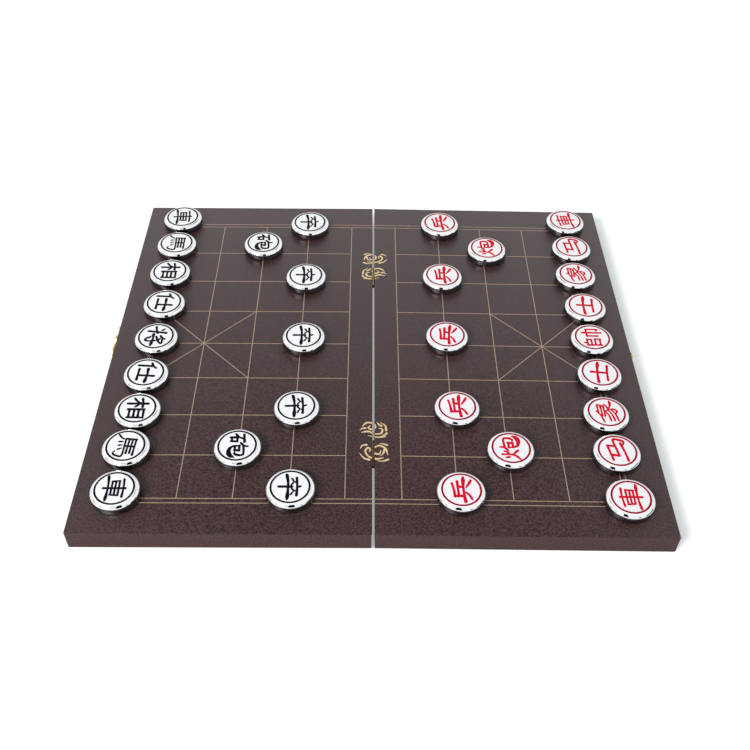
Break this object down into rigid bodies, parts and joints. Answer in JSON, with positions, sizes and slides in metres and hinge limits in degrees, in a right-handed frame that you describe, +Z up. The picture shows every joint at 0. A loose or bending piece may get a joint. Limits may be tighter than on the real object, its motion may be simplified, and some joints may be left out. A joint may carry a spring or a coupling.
{
  "type": "folding xiangqi board box",
  "caption": "Folding board box for xiangqi, lying open: two shallow hinged trays with a printed grid, a brass hook clasp, and round magnetic pieces set out for a game.",
  "frame": {"origin": "on the table, under the middle of the fold between the two halves", "axes": "+X across the river from black's half to red's half, +Y along the fold away from the near side, +Z up"},
  "size_m": [0.3262, 0.286, 0.019],
  "materials": {
    "playing_skin": "dark brown wrapped film with a fine leather-like speckle, low sheen, game grid printed in muted gold",
    "frame_wood": "wooden rails covered in the same dark brown film",
    "fibreboard": "raw fibreboard panel",
    "steel_sheet": "thin plain steel sheet that the magnets hold to",
    "felt": "short dark green felt",
    "hinge_brass": "brass plated rolled hinge",
    "clasp_brass": "bright yellow brass plated clasp",
    "black_piece": "bright chrome-plated moulding with a white face; ring and rank mark in blue-black ink",
    "red_piece": "bright chrome-plated moulding with a white face; ring and rank mark in red ink"
  },
  "bodies": {
    "left_half": {"left_near_rail": "frame_wood", "left_clasp_rail": "frame_wood", "left_far_rail": "frame_wood", "left_hinge_rail": "frame_wood", "left_playing_skin": "playing_skin", "left_steel_sheet": "steel_sheet", "left_panel": "fibreboard", "left_felt_lining": "felt", "near_hinge_left_leaf": "hinge_brass", "far_hinge_left_leaf": "hinge_brass", "near_hinge_pin": "hinge_brass", "far_hinge_pin": "hinge_brass", "latch_plate": "clasp_brass", "latch_rivet": "clasp_brass"},
    "right_half": {"right_near_rail": "frame_wood", "right_clasp_rail": "frame_wood", "right_far_rail": "frame_wood", "right_hinge_rail": "frame_wood", "right_playing_skin": "playing_skin", "right_steel_sheet": "steel_sheet", "right_panel": "fibreboard", "right_felt_lining": "felt", "near_hinge_right_leaf": "hinge_brass", "far_hinge_right_leaf": "hinge_brass", "catch_plate": "clasp_brass", "catch_peg": "clasp_brass"},
    "latch": {"latch_hook": "clasp_brass"},
    "black_adviser_far_piece": {"black_adviser_far": "black_piece"},
    "black_adviser_near_piece": {"black_adviser_near": "black_piece"},
    "black_cannon_far_piece": {"black_cannon_far": "black_piece"},
    "black_cannon_near_piece": {"black_cannon_near": "black_piece"},
    "black_chariot_far_piece": {"black_chariot_far": "black_piece"},
    "black_chariot_near_piece": {"black_chariot_near": "black_piece"},
    "black_elephant_far_piece": {"black_elephant_far": "black_piece"},
    "black_elephant_near_piece": {"black_elephant_near": "black_piece"},
    "black_general_piece": {"black_general": "black_piece"},
    "black_horse_far_piece": {"black_horse_far": "black_piece"},
    "black_horse_near_piece": {"black_horse_near": "black_piece"},
    "black_soldier_1_piece": {"black_soldier_1": "black_piece"},
    "black_soldier_2_piece": {"black_soldier_2": "black_piece"},
    "black_soldier_3_piece": {"black_soldier_3": "black_piece"},
    "black_soldier_4_piece": {"black_soldier_4": "black_piece"},
    "black_soldier_5_piece": {"black_soldier_5": "black_piece"},
    "red_adviser_far_piece": {"red_adviser_far": "red_piece"},
    "red_adviser_near_piece": {"red_adviser_near": "red_piece"},
    "red_cannon_far_piece": {"red_cannon_far": "red_piece"},
    "red_cannon_near_piece": {"red_cannon_near": "red_piece"},
    "red_chariot_far_piece": {"red_chariot_far": "red_piece"},
    "red_chariot_near_piece": {"red_chariot_near": "red_piece"},
    "red_elephant_far_piece": {"red_elephant_far": "red_piece"},
    "red_elephant_near_piece": {"red_elephant_near": "red_piece"},
    "red_general_piece": {"red_general": "red_piece"},
    "red_horse_far_piece": {"red_horse_far": "red_piece"},
    "red_horse_near_piece": {"red_horse_near": "red_piece"},
    "red_soldier_1_piece": {"red_soldier_1": "red_piece"},
    "red_soldier_2_piece": {"red_soldier_2": "red_piece"},
    "red_soldier_3_piece": {"red_soldier_3": "red_piece"},
    "red_soldier_4_piece": {"red_soldier_4": "red_piece"},
    "red_soldier_5_piece": {"red_soldier_5": "red_piece"}
  },
  "joints": [
    {"name": "board_fold", "type": "hinge", "parent": "left_half", "child": "right_half", "pos_m": [0, 0, 0.0012], "axis": [0, 1, 0], "range_deg": [-5, 179.09]},
    {"name": "latch_swing", "type": "hinge", "parent": "left_half", "child": "latch", "pos_m": [-0.16169, 0.0083, 0.00599], "axis": [1, 0, 0.0075], "range_deg": [-90, 53.75]},
    {"name": "black_adviser_far_lift", "type": "slide", "parent": "left_half", "child": "black_adviser_far_piece", "axis": [-0.0075, 0, 1], "range_m": [0, 0.04]},
    {"name": "black_adviser_near_lift", "type": "slide", "parent": "left_half", "child": "black_adviser_near_piece", "axis": [-0.0075, 0, 1], "range_m": [0, 0.04]},
    {"name": "black_cannon_far_lift", "type": "slide", "parent": "left_half", "child": "black_cannon_far_piece", "axis": [-0.0075, 0, 1], "range_m": [0, 0.04]},
    {"name": "black_cannon_near_lift", "type": "slide", "parent": "left_half", "child": "black_cannon_near_piece", "axis": [-0.0075, 0, 1], "range_m": [0, 0.04]},
    {"name": "black_chariot_far_lift", "type": "slide", "parent": "left_half", "child": "black_chariot_far_piece", "axis": [-0.0075, 0, 1], "range_m": [0, 0.04]},
    {"name": "black_chariot_near_lift", "type": "slide", "parent": "left_half", "child": "black_chariot_near_piece", "axis": [-0.0075, 0, 1], "range_m": [0, 0.04]},
    {"name": "black_elephant_far_lift", "type": "slide", "parent": "left_half", "child": "black_elephant_far_piece", "axis": [-0.0075, 0, 1], "range_m": [0, 0.04]},
    {"name": "black_elephant_near_lift", "type": "slide", "parent": "left_half", "child": "black_elephant_near_piece", "axis": [-0.0075, 0, 1], "range_m": [0, 0.04]},
    {"name": "black_general_lift", "type": "slide", "parent": "left_half", "child": "black_general_piece", "axis": [-0.0075, 0, 1], "range_m": [0, 0.04]},
    {"name": "black_horse_far_lift", "type": "slide", "parent": "left_half", "child": "black_horse_far_piece", "axis": [-0.0075, 0, 1], "range_m": [0, 0.04]},
    {"name": "black_horse_near_lift", "type": "slide", "parent": "left_half", "child": "black_horse_near_piece", "axis": [-0.0075, 0, 1], "range_m": [0, 0.04]},
    {"name": "black_soldier_1_lift", "type": "slide", "parent": "left_half", "child": "black_soldier_1_piece", "axis": [-0.0075, 0, 1], "range_m": [0, 0.04]},
    {"name": "black_soldier_2_lift", "type": "slide", "parent": "left_half", "child": "black_soldier_2_piece", "axis": [-0.0075, 0, 1], "range_m": [0, 0.04]},
    {"name": "black_soldier_3_lift", "type": "slide", "parent": "left_half", "child": "black_soldier_3_piece", "axis": [-0.0075, 0, 1], "range_m": [0, 0.04]},
    {"name": "black_soldier_4_lift", "type": "slide", "parent": "left_half", "child": "black_soldier_4_piece", "axis": [-0.0075, 0, 1], "range_m": [0, 0.04]},
    {"name": "black_soldier_5_lift", "type": "slide", "parent": "left_half", "child": "black_soldier_5_piece", "axis": [-0.0075, 0, 1], "range_m": [0, 0.04]},
    {"name": "red_adviser_far_lift", "type": "slide", "parent": "right_half", "child": "red_adviser_far_piece", "axis": [0.0075, 0, 1], "range_m": [0, 0.04]},
    {"name": "red_adviser_near_lift", "type": "slide", "parent": "right_half", "child": "red_adviser_near_piece", "axis": [0.0075, 0, 1], "range_m": [0, 0.04]},
    {"name": "red_cannon_far_lift", "type": "slide", "parent": "right_half", "child": "red_cannon_far_piece", "axis": [0.0075, 0, 1], "range_m": [0, 0.04]},
    {"name": "red_cannon_near_lift", "type": "slide", "parent": "right_half", "child": "red_cannon_near_piece", "axis": [0.0075, 0, 1], "range_m": [0, 0.04]},
    {"name": "red_chariot_far_lift", "type": "slide", "parent": "right_half", "child": "red_chariot_far_piece", "axis": [0.0075, 0, 1], "range_m": [0, 0.04]},
    {"name": "red_chariot_near_lift", "type": "slide", "parent": "right_half", "child": "red_chariot_near_piece", "axis": [0.0075, 0, 1], "range_m": [0, 0.04]},
    {"name": "red_elephant_far_lift", "type": "slide", "parent": "right_half", "child": "red_elephant_far_piece", "axis": [0.0075, 0, 1], "range_m": [0, 0.04]},
    {"name": "red_elephant_near_lift", "type": "slide", "parent": "right_half", "child": "red_elephant_near_piece", "axis": [0.0075, 0, 1], "range_m": [0, 0.04]},
    {"name": "red_general_lift", "type": "slide", "parent": "right_half", "child": "red_general_piece", "axis": [0.0075, 0, 1], "range_m": [0, 0.04]},
    {"name": "red_horse_far_lift", "type": "slide", "parent": "right_half", "child": "red_horse_far_piece", "axis": [0.0075, 0, 1], "range_m": [0, 0.04]},
    {"name": "red_horse_near_lift", "type": "slide", "parent": "right_half", "child": "red_horse_near_piece", "axis": [0.0075, 0, 1], "range_m": [0, 0.04]},
    {"name": "red_soldier_1_lift", "type": "slide", "parent": "right_half", "child": "red_soldier_1_piece", "axis": [0.0075, 0, 1], "range_m": [0, 0.04]},
    {"name": "red_soldier_2_lift", "type": "slide", "parent": "right_half", "child": "red_soldier_2_piece", "axis": [0.0075, 0, 1], "range_m": [0, 0.04]},
    {"name": "red_soldier_3_lift", "type": "slide", "parent": "right_half", "child": "red_soldier_3_piece", "axis": [0.0075, 0, 1], "range_m": [0, 0.04]},
    {"name": "red_soldier_4_lift", "type": "slide", "parent": "right_half", "child": "red_soldier_4_piece", "axis": [0.0075, 0, 1], "range_m": [0, 0.04]},
    {"name": "red_soldier_5_lift", "type": "slide", "parent": "right_half", "child": "red_soldier_5_piece", "axis": [0.0075, 0, 1], "range_m": [0, 0.04]}
  ]
}
